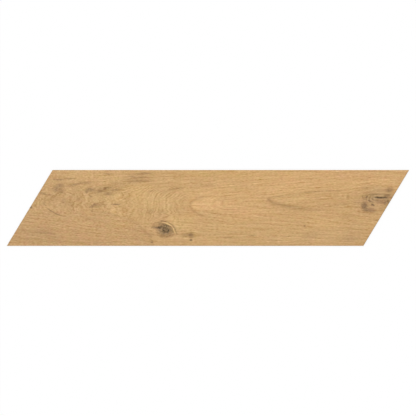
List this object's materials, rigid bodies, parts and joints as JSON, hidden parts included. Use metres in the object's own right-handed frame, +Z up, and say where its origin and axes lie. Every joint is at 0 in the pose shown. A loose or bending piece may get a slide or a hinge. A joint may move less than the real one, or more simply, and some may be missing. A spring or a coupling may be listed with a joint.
{
  "type": "vinyl chevron plank",
  "caption": "Thin flat vinyl floor plank cut to a parallelogram, with slanted mitre ends for a chevron floor, a wood-look face and a fine bevel round its rim.",
  "frame": {"origin": "on the glued back, under the middle of the plank", "axes": "+X along the long edges, +Y across the plank, +Z up out of the face"},
  "size_m": [0.663, 0.125, 0.0025],
  "materials": {
    "vinyl": "satin"
  },
  "bodies": {
    "root": {"plank": "vinyl"}
  },
  "joints": []
}
